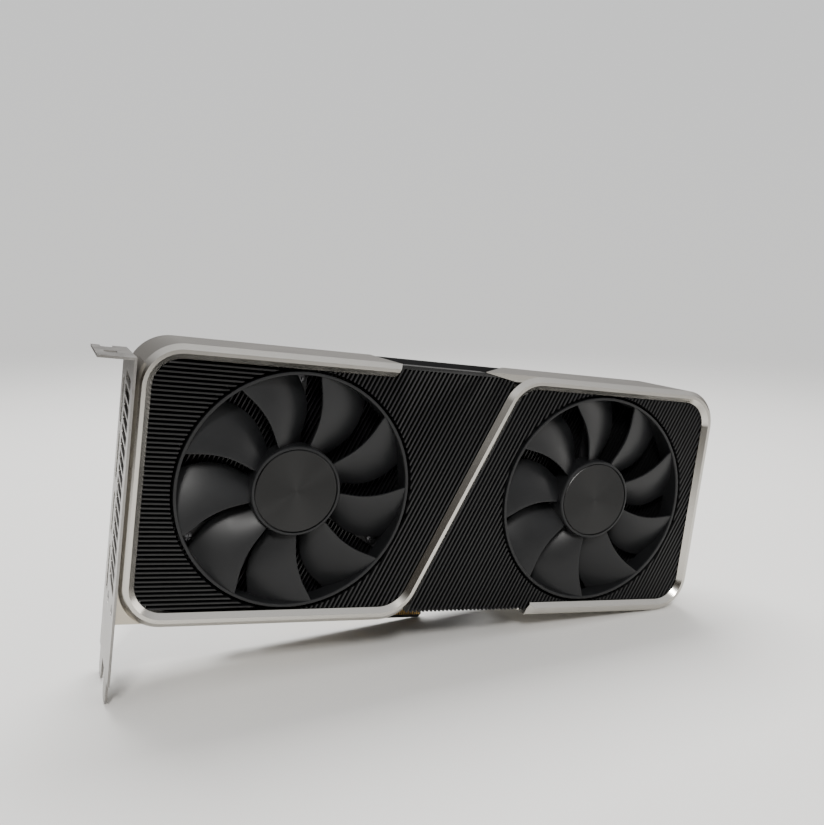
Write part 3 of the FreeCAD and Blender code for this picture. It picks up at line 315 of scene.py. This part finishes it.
def ease(piece, edge, segments=2, corner=32):
    """Rounds the edges sharper than `corner` degrees."""
    bpy.context.view_layer.objects.active = piece
    bevel = piece.modifiers.new("eased_edges", "BEVEL")
    bevel.width = edge * MM
    bevel.segments = segments
    bevel.limit_method = "ANGLE"
    bevel.angle_limit = math.radians(corner)
    bevel.use_clamp_overlap = True
    bpy.ops.object.modifier_apply(modifier=bevel.name)


def finished(piece, node, body, look):
    """Shades a piece, gives it its material and body, and hides its solid."""
    clear_selection()
    piece.select_set(True)
    bpy.context.view_layer.objects.active = piece
    bpy.ops.object.shade_smooth_by_angle(angle=SMOOTH_BELOW)
    flat = piece.modifiers.new("flat_faces", "WEIGHTED_NORMAL")
    flat.keep_sharp = True
    bpy.ops.object.modifier_apply(modifier=flat.name)
    piece.data.materials.clear()
    piece.data.materials.append(look)
    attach(piece, body)
    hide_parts(node)


# ---- Frame and corner filler ---------------------------------------------------------------------
# The frame is one S-shaped die casting, machined on its bevels, bead-blasted and clear anodised
# to a warm satin silver. The filler behind its lower left corner is a separate casting.
satin_silver = material("satin_silver", (0.57, 0.55, 0.51), (0.49, 0.47, 0.43), 0.20, 0.08,
    metallic=1.0, grain_size=0.16, cloud_size=22, bump=0.05, depth=0.008)
worked("trim_frame", "silver_frame", 0, look=satin_silver)
filler_metal = material("filler_metal", (0.60, 0.55, 0.46), (0.50, 0.45, 0.37), 0.40, 0.10,
    metallic=1.0, grain_size=0.16, bump=0.12, depth=0.012)
worked("corner_filler", "lower_corner_filler", 0.25, look=filler_metal)


# ---- Fin banks -----------------------------------------------------------------------------------
# The fins are stamped black-coated aluminium plates that stand edge-on in the frame, level between
# the frame's left end and the first fan, and aslant, in line with the strut, everywhere else.
fin_black = material("fin_black", (0.0075, 0.0075, 0.008), (0.005, 0.005, 0.0054), 0.34, 0.12,
    grain_size=0.2, cloud_size=12, bump=0.10, depth=0.01, specular=0.4)
# The strut's lean in degrees, then mm: the fins' spacing, and depths behind the frame's front.
STRUT = 66.65
FIN_PITCH, FIN_GAP, STACK_GAP = 1.6, 1.02, 1.15
BANK_FRONT, BANK_BACK = -1, 12.6
STACK_FRONT, INNER_BACK, TAIL_BACK = 12, 24.2, 60
CROWN = 95.9


def comb(name, node, lean, gap, front, back, ceiling=None):
    """A row of slabs, the gaps between fins: `lean` degrees from level, between two depths."""
    low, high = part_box(node)
    centre = (low + high) / 2
    reach = (high - low).length
    count = int(reach / (FIN_PITCH * MM)) + 2
    clear_selection()
    bpy.ops.mesh.primitive_cube_add(size=1)
    slabs = bpy.context.object
    slabs.name = name
    slabs.scale = (reach * 1.2, (back - front) * MM, gap * MM)
    bpy.ops.object.transform_apply(scale=True)
    row = slabs.modifiers.new("row", "ARRAY")
    row.count = count
    row.use_relative_offset = False
    row.use_constant_offset = True
    row.constant_offset_displace = (0, 0, FIN_PITCH * MM)
    bpy.ops.object.modifier_apply(modifier=row.name)
    turn = Matrix.Rotation(-math.radians(lean), 4, "Y")
    start = Matrix.Translation((0, 0, -count * FIN_PITCH * MM / 2))
    middle = Vector((centre.x, frame_corner.y + (front + back) / 2 * MM, centre.z))
    slabs.data.transform(Matrix.Translation(middle) @ turn @ start)
    if ceiling is not None:
        bpy.ops.object.mode_set(mode="EDIT")
        bpy.ops.mesh.select_all(action="SELECT")
        bpy.ops.mesh.bisect(plane_co=place_on_card(0, 0, ceiling), plane_no=(0, 0, 1),
            use_fill=True, clear_outer=True)
        bpy.ops.object.mode_set(mode="OBJECT")
    return slabs


def finned(node, name, lean, gap, front, back, ceiling=None, edge=0.12):
    """A block of fins cut from its solid outline."""
    slabs = comb(name + "_gaps", node, lean, gap, front, back, ceiling)
    piece = worked(node, name, 0, look=fin_black)
    cut = piece.modifiers.new("gaps", "BOOLEAN")
    cut.operation = "DIFFERENCE"
    cut.solver = "EXACT"
    cut.object = slabs
    bpy.ops.object.modifier_apply(modifier=cut.name)
    bpy.data.objects.remove(slabs)
    if edge:
        ease(piece, edge, 1, 50)
    clear_selection()
    piece.select_set(True)
    bpy.ops.object.shade_smooth_by_angle(angle=SMOOTH_BELOW)
    return piece


finned("left_end_fins", "left_end_ridges", 0, FIN_GAP, BANK_FRONT, BANK_BACK)
finned("middle_fins", "middle_ridges", STRUT, FIN_GAP, BANK_FRONT, BANK_BACK, CROWN)
finned("lower_fins", "lower_ridges", STRUT, FIN_GAP, BANK_FRONT, BANK_BACK)
finned("right_end_fins", "right_end_ridges", STRUT, FIN_GAP, BANK_FRONT, BANK_BACK)
finned("gpu_fin_stack", "inner_stack_plates", STRUT, STACK_GAP, STACK_FRONT, INNER_BACK, edge=0)
finned("tail_fin_stack", "tail_stack_plates", STRUT, STACK_GAP, STACK_FRONT, TAIL_BACK, edge=0)


# ---- Rotors --------------------------------------------------------------------------------------
# Each rotor is moulded in one piece from glass-filled black plastic: a cup, nine swept blades and
# the band round their tips. A brushed disc is let into the cup's face.
fan_plastic = material("fan_plastic", (0.0105, 0.011, 0.012), (0.007, 0.0073, 0.008), 0.42, 0.14,
    grain_size=0.12, cloud_size=9, bump=0.18, depth=0.01, specular=0.36)
cap_black = material("cap_black", (0.034, 0.034, 0.034), (0.026, 0.026, 0.026), 0.25, 0.06,
    metallic=1.0, grain_size=0.3, bump=0.04, depth=0.005, anisotropic=0.9)
cap_tree = cap_black.node_tree
spun = add_node(cap_tree, "ShaderNodeTangent", direction_type="RADIAL", axis="Y")
cap_tree.links.new(spun.outputs["Tangent"], cap_tree.nodes["Principled BSDF"].inputs["Tangent"])
BLADES = 9
BAND, CUP = 42.95, 16.5
SWEEP = ((0.0, -6.5), (0.3, -8.2), (0.57, -6.2), (0.83, -2.6), (1.0, 0.0))
# Outlines of (radius, depth) in mm; the band's is given inward from its outer face.
BAND_RING = [(BAND - inset, depth) for inset, depth in (
    (0, 2.2), (0, 9.8), (0.3, 10.05), (0.9, 10.05), (1.2, 9.8),
    (1.2, 2.3), (1.0, 1.98), (0.7, 1.92), (0.3, 1.92), (0.08, 2.0))]
CUP_WALL = [(CUP, 3.2), (CUP, 10.95), (CUP - 1.2, 10.95), (CUP - 1.2, 3.0), (15.4, 2.8),
    (15.25, 2.4), (15.35, 2.15), (15.7, 2.12), (CUP - 0.45, 2.25), (CUP - 0.12, 2.65)]
CUP_FLOOR = [(0.0, 2.85), (15.4, 2.85), (15.4, 4.1), (0.0, 4.1)]
CAP_DISC = [(0.0, 2.12), (14.75, 2.12), (14.98, 2.3), (14.98, 2.7), (0.0, 2.7)]


def turned(name, outline, centre, steps=144):
    """A piece turned about the fan's axis from a closed outline of (radius, depth) in mm."""
    clear_selection()
    bpy.ops.mesh.primitive_circle_add(vertices=len(outline), radius=0.001)
    piece = bpy.context.object
    piece.name = name
    for corner, (radius, depth) in zip(piece.data.vertices, outline):
        corner.co = centre + Vector((radius, depth, 0)) * MM
    bpy.ops.object.transform_apply()
    bpy.ops.object.mode_set(mode="EDIT")
    bpy.ops.mesh.select_all(action="SELECT")
    bpy.ops.mesh.spin(steps=steps, angle=2 * math.pi, center=centre, axis=(0, 1, 0))
    bpy.ops.mesh.select_all(action="SELECT")
    bpy.ops.mesh.remove_doubles(threshold=SAME_POINT)
    bpy.ops.mesh.normals_make_consistent(inside=False)
    bpy.ops.object.mode_set(mode="OBJECT")
    return piece


def along(table, place):
    """A value read in a straight line between the rows of a table of (place, value)."""
    for (start, first), (stop, last) in zip(table, table[1:]):
        if place <= stop:
            share = (place - start) / (stop - start)
            return first + (last - first) * share
    return table[-1][1]


def bowed(place):
    """Degrees a blade's front edge lies behind its tip, averaged over five readings."""
    reach = 0.12
    places = [min(1, max(0, place + reach * step / 2)) for step in (-2, -1, 0, 1, 2)]
    return sum(along(SWEEP, near) for near in places) / 5


def blade(centre, tip_angle):
    """One blade: its front edge bows out, and its face falls back behind it in a scoop."""
    rows, columns = 14, 16
    root, tip = CUP - 0.6, BAND - 0.7
    chord_at_ends, chord_swell = 30, 3
    root_front, front_fall, rear = 4.6, 2.0, 10.6
    bpy.ops.mesh.primitive_grid_add(x_subdivisions=columns, y_subdivisions=rows, size=2)
    piece = bpy.context.object
    for point in piece.data.vertices:
        out, back = (point.co.y + 1) / 2, (point.co.x + 1) / 2
        radius = root + (tip - root) * out
        lead = tip_angle + bowed(out)
        chord = chord_at_ends + chord_swell * math.sin(math.pi * out)
        turn = math.radians(lead - chord * back)
        front = root_front - front_fall * out ** 0.8
        depth = front + (rear - front) * (0.35 * back + 0.65 * back ** 1.7)
        point.co = centre + Vector((radius * math.cos(turn), depth, radius * math.sin(turn))) * MM
    wall = piece.modifiers.new("wall", "SOLIDIFY")
    wall.thickness = 1.0 * MM
    wall.offset = 0
    bpy.ops.object.modifier_apply(modifier=wall.name)
    ease(piece, 0.28, 2, 50)
    return piece


def fan_wheel(side, tip_angle):
    low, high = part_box(side + "_fan_rotor")
    centre = Vector(((low.x + high.x) / 2, frame_corner.y, (low.z + high.z) / 2))
    parts = []
    for number in range(BLADES):
        clear_selection()
        parts.append(blade(centre, tip_angle + 360 / BLADES * number))
    band = turned("band", BAND_RING, centre)
    cup = turned("cup", CUP_WALL, centre)
    cup_floor = turned("cup_floor", CUP_FLOOR, centre)
    clear_selection()
    for part in parts + [band, cup_floor, cup]:
        part.select_set(True)
    bpy.context.view_layer.objects.active = cup
    bpy.ops.object.join()
    cup.name = side + "_fan_wheel"
    finished(cup, side + "_fan_rotor", side + "_fan", fan_plastic)
    disc = turned(side + "_fan_disc", CAP_DISC, centre)
    finished(disc, side + "_fan_cap", side + "_fan", cap_black)


fan_wheel("left", 84.4)
fan_wheel("right", 72.3)


# ---- Bracket -------------------------------------------------------------------------------------
# The bracket is stamped from one sheet of zinc-plated steel, slotted for air along its height, with
# windows for the sockets, two feet below and a bent tab above. The plating has a mottled grain.
bracket_steel = material("bracket_steel", (0.40, 0.39, 0.375), (0.17, 0.16, 0.15), 0.32, 0.22,
    metallic=1.0, grain_size=0.9, cloud_size=7, bump=0.22, depth=0.02, brush=(6, 6, 0.5))
worked("io_bracket", "slotted_bracket", 0.10, look=bracket_steel)


# ---- Screws --------------------------------------------------------------------------------------
# All screws are black zinc-plated steel machine screws with a cross recess in a low domed head.
# They hold the bracket, the backplate, the spring and the fan carriers.
screw_steel = material("screw_steel", (0.10, 0.10, 0.105), (0.06, 0.06, 0.063), 0.30, 0.15,
    metallic=0.9, grain_size=0.2, bump=0.10, depth=0.008)


# Turns a screw whose head faces the front so that it faces the other ways, by (axis, outward).
FACING = {(0, -1): -math.pi / 2, (1, -1): 0, (1, 1): math.pi}


def screw_boxes(node):
    """The low and high corner of each separate screw of a solid."""
    clear_selection()
    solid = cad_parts[node]
    solid.select_set(True)
    bpy.context.view_layer.objects.active = solid
    bpy.ops.object.duplicate()
    bpy.ops.object.mode_set(mode="EDIT")
    bpy.ops.mesh.select_all(action="SELECT")
    bpy.ops.mesh.remove_doubles(threshold=SAME_POINT)
    bpy.ops.mesh.separate(type="LOOSE")
    bpy.ops.object.mode_set(mode="OBJECT")
    found = []
    for part in list(bpy.context.selected_objects):
        corners = [point.co for point in part.data.vertices]
        low = Vector([min(corner[side] for corner in corners) for side in range(3)])
        high = Vector([max(corner[side] for corner in corners) for side in range(3)])
        found.append((low, high))
        bpy.data.objects.remove(part)
    return sorted(found, key=lambda pair: tuple(round(value, 5) for value in pair[0]))


def recessed_screws(node, name, axis, outward, head_share=0.35, dome=0.25):
    """Screws with domed, cross-recessed heads facing `outward` (+1 or -1) along axis 0 or 1."""
    made = []
    for low, high in screw_boxes(node):
        middle, size = (low + high) / 2, high - low
        radius = min(size[side] for side in range(3) if side != axis) / 2 / MM
        length = size[axis] / MM
        head = min(length * head_share, radius * 0.8)
        shank = radius * 0.55
        rise = min(dome, head * 0.4)
        outline = [(0.0, 0.0), (radius * 0.55, 0.03 * rise), (radius * 0.85, rise * 0.45),
            (radius, rise), (radius, head), (shank, head), (shank, length), (0.0, length)]
        screw = turned(name, outline, Vector((0, 0, 0)), 28)
        clear_selection()
        for turn in (0, math.pi / 2):
            bpy.ops.mesh.primitive_cube_add(size=1)
            bar = bpy.context.object
            bar.data.transform(Matrix.Rotation(turn, 4, "Y") @ Matrix.Diagonal(
                (radius * 1.15 * MM, head * 1.1 * MM, radius * 0.26 * MM, 1)))
            cut = screw.modifiers.new("recess", "BOOLEAN")
            cut.operation = "DIFFERENCE"
            cut.object = bar
            bpy.context.view_layer.objects.active = screw
            bpy.ops.object.modifier_apply(modifier=cut.name)
            bpy.data.objects.remove(bar)
        turn_to = Matrix.Rotation(FACING[axis, outward], 4, "Z")
        tip = middle.copy()
        tip[axis] = low[axis] if outward < 0 else high[axis]
        screw.data.transform(Matrix.Translation(tip) @ turn_to)
        made.append(screw)
    clear_selection()
    for screw in made:
        screw.select_set(True)
    bpy.context.view_layer.objects.active = made[0]
    bpy.ops.object.join()
    finished(made[0], node, "card", screw_steel)


recessed_screws("bracket_screws", "bracket_fixing_screws", 0, -1, 0.2)
recessed_screws("backplate_screws", "backplate_fixing_screws", 1, 1)
recessed_screws("tail_screws", "tail_fixing_screws", 1, 1)
recessed_screws("retention_screws", "spring_fixing_screws", 1, 1)
for side in ("left", "right"):
    recessed_screws(side + "_fan_screws", side + "_fan_fixing_screws", 1, -1)


# ---- Backplate, centre web and fan carriers ------------------------------------------------------
# Both are pressed from aluminium sheet, black-anodised with a fine matt texture. The backplate is
# screwed on from behind. The arms that carry the fans have the same finish.
cover_black = material("cover_black", (0.016, 0.016, 0.0175), (0.010, 0.010, 0.011), 0.48, 0.14,
    grain_size=0.14, bump=0.25, depth=0.015)
worked("backplate", "black_backplate", 0.18, look=cover_black)
worked("centre_web", "inner_web", 0.10, look=cover_black)
for side in ("left", "right"):
    worked(side + "_fan_mount", side + "_fan_carrier", 0.18, look=cover_black)


# ---- Cooler plates and pipes ---------------------------------------------------------------------
# The flattened heat pipes and the cold plate are copper under a thin bright nickel plating. Soft
# grey pads fill the space between the plate and the parts it cools.
plated_copper = material("plated_copper", (0.74, 0.66, 0.58), (0.62, 0.46, 0.36), 0.26, 0.12,
    metallic=1.0, grain_size=0.3, cloud_size=18, bump=0.08, depth=0.01)
worked("heat_pipes", "flat_heat_pipes", 0.3, look=plated_copper)
worked("cold_plate", "copper_cold_plate", 0.2, look=plated_copper)
pad_grey = material("pad_grey", (0.42, 0.45, 0.49), (0.36, 0.38, 0.42), 0.75, 0.1,
    grain_size=0.25, bump=0.4, depth=0.03)
worked("thermal_pads", "soft_pads", 0.08, look=pad_grey)


# ---- Circuit board -------------------------------------------------------------------------------
# The board is glass-fibre laminate under a near-black resist; copper tracks show through it as
# slightly raised, slightly lighter lines. The contacts along its tongue are gold plated.
board_resin = material("board_resin", (0.016, 0.018, 0.018), (0.010, 0.011, 0.011), 0.34, 0.10,
    grain_size=0.5)
board_tree = board_resin.node_tree
track_place = board_tree.nodes.new("ShaderNodeTexCoord")
track_mapping = add_node(board_tree, "ShaderNodeMapping", {"Rotation": (0, math.radians(45), 0)})
board_tree.links.new(track_place.outputs["Object"], track_mapping.inputs["Vector"])
tracks = add_node(board_tree, "ShaderNodeTexBrick", {
    "Scale": 260.0, "Mortar Size": 0.035, "Mortar Smooth": 0.2,
    "Color1": (0, 0, 0, 1), "Color2": (0, 0, 0, 1), "Mortar": (1, 1, 1, 1)})
turned_axes = add_node(board_tree, "ShaderNodeSeparateXYZ")
flat_axes = add_node(board_tree, "ShaderNodeCombineXYZ")
board_tree.links.new(track_mapping.outputs["Vector"], turned_axes.inputs[0])
board_tree.links.new(turned_axes.outputs["X"], flat_axes.inputs["X"])
board_tree.links.new(turned_axes.outputs["Z"], flat_axes.inputs["Y"])
board_tree.links.new(flat_axes.outputs["Vector"], tracks.inputs["Vector"])
board_shader = board_tree.nodes["Principled BSDF"]
board_colour = board_shader.inputs["Base Color"].links[0].from_socket
copper_under = add_node(board_tree, "ShaderNodeMix", {"B": (0.035, 0.038, 0.034, 1)},
    data_type="RGBA")
board_tree.links.new(tracks.outputs["Color"], copper_under.inputs["Factor"])
board_tree.links.new(board_colour, copper_under.inputs["A"])
board_tree.links.new(copper_under.outputs["Result"], board_shader.inputs["Base Color"])
worked("circuit_board", "black_board", 0.05, look=board_resin)
gold = material("gold", (0.93, 0.64, 0.26), (0.80, 0.50, 0.18), 0.26, 0.12,
    metallic=1.0, grain_size=0.12, bump=0.1, depth=0.005)
worked("edge_contacts", "gold_fingers", 0.02, look=gold, segments=1)


# ---- Chips and power parts -----------------------------------------------------------------------
# Moulded packages, a polished die, pressed ferrite chokes and drawn aluminium capacitor cans, all
# soldered to the board.
package_resin = material("package_resin", (0.032, 0.032, 0.034), (0.022, 0.022, 0.024), 0.50, 0.1,
    grain_size=0.1, bump=0.3, depth=0.012)
silicon = material("silicon", (0.11, 0.12, 0.14), (0.09, 0.10, 0.12), 0.12, 0.05,
    grain_size=0.5, bump=0.02, coat=0.3)
ferrite = material("ferrite", (0.10, 0.10, 0.105), (0.06, 0.06, 0.064), 0.55, 0.15,
    grain_size=0.18, bump=0.5, depth=0.03)
can_bright = material("can_bright", (0.66, 0.66, 0.68), (0.52, 0.52, 0.54), 0.25, 0.1,
    metallic=1.0, grain_size=0.2, bump=0.06, depth=0.008)
for node, name, edge, look, finish in (
        ("gpu_package", "processor_carrier", 0.08, board_resin, "board_resin"),
        ("gpu_die", "processor_die", 0.03, silicon, "silicon"),
        ("memory_chips", "memory_packages", 0.08, package_resin, "package_resin"),
        ("power_stages", "power_stage_packages", 0.05, package_resin, "package_resin"),
        ("firmware_chips", "small_packages", 0.05, package_resin, "package_resin"),
        ("power_inductors", "ferrite_chokes", 0.25, ferrite, "ferrite"),
        ("capacitors", "capacitor_cans", 0.25, can_bright, "capacitor_can")):
    worked(node, name, edge, look=look)


# ---- Sockets -------------------------------------------------------------------------------------
# Display sockets have drawn nickel-plated shells round a black tongue; the power socket and the fan
# headers are black nylon with plated pins.
nickel = material("nickel", (0.66, 0.645, 0.62), (0.54, 0.525, 0.50), 0.22, 0.12,
    metallic=1.0, grain_size=0.2, bump=0.06, depth=0.008)
nylon_black = material("nylon_black", (0.015, 0.015, 0.016), (0.009, 0.009, 0.010), 0.42, 0.12,
    grain_size=0.12, bump=0.2, depth=0.01)
for node, name, edge, look, finish in (
        ("displayport_shells", "display_socket_shells", 0.12, nickel, "socket_shell"),
        ("hdmi_shell", "wide_socket_shell", 0.12, nickel, "socket_shell"),
        ("displayport_tongues", "display_socket_tongues", 0.08, nylon_black, "socket_plastic"),
        ("hdmi_tongue", "wide_socket_tongue", 0.08, nylon_black, "socket_plastic"),
        ("power_socket", "power_socket_body", 0.22, nylon_black, "socket_plastic"),
        ("power_pins", "power_socket_pins", 0.08, gold, "gold_contacts"),
        ("fan_headers", "fan_header_blocks", 0.15, nylon_black, "socket_plastic")):
    worked(node, name, edge, look=look)


# ---- Retention spring and standoffs --------------------------------------------------------------
# A cross of sprung steel, pressed from sheet and screwed down at its ends, presses the board onto
# the cold plate. Turned brass standoffs hold the rest.
spring_steel = material("spring_steel", (0.34, 0.34, 0.35), (0.24, 0.24, 0.25), 0.28, 0.14,
    metallic=1.0, grain_size=0.25, bump=0.08, depth=0.01, brush=(0.5, 6, 6))
turned_brass = material("turned_brass", (0.66, 0.50, 0.24), (0.52, 0.38, 0.17), 0.30, 0.1,
    metallic=1.0, grain_size=0.2, bump=0.08, depth=0.01)
worked("retention_spring", "sprung_cross", 0.12, look=spring_steel)
worked("standoffs", "brass_standoffs", 0.12, look=turned_brass)


# ---- Fan motors ----------------------------------------------------------------------------------
# Behind each cup: a ring magnet, a ground shaft in a sintered bronze sleeve, a laminated stator and
# the driver board.
laminations = material("laminations", (0.16, 0.13, 0.11), (0.10, 0.08, 0.07), 0.42, 0.15,
    metallic=0.7, grain_size=0.3, bump=0.25, depth=0.02, brush=(1, 9, 1))
magnet_black = material("magnet_black", (0.05, 0.048, 0.046), (0.03, 0.029, 0.028), 0.5, 0.12,
    grain_size=0.2, bump=0.3, depth=0.02)
for side in ("left", "right"):
    turning = side + "_fan"
    worked(side + "_fan_magnet", side + "_ring_magnet", 0.15, turning, magnet_black)
    worked(side + "_fan_shaft", side + "_ground_shaft", 0.1, turning, spring_steel)
    for node, name, edge, look, finish in (
            ("bearing", "bronze_sleeve", 0.12, turned_brass, "bearing_bronze"),
            ("stator", "laminated_stator", 0.1, laminations, "motor_core"),
            ("driver_board", "driver_disc", 0.06, board_resin, "board_resin")):
        worked(side + "_fan_" + node, side + "_" + name, edge, look=look)
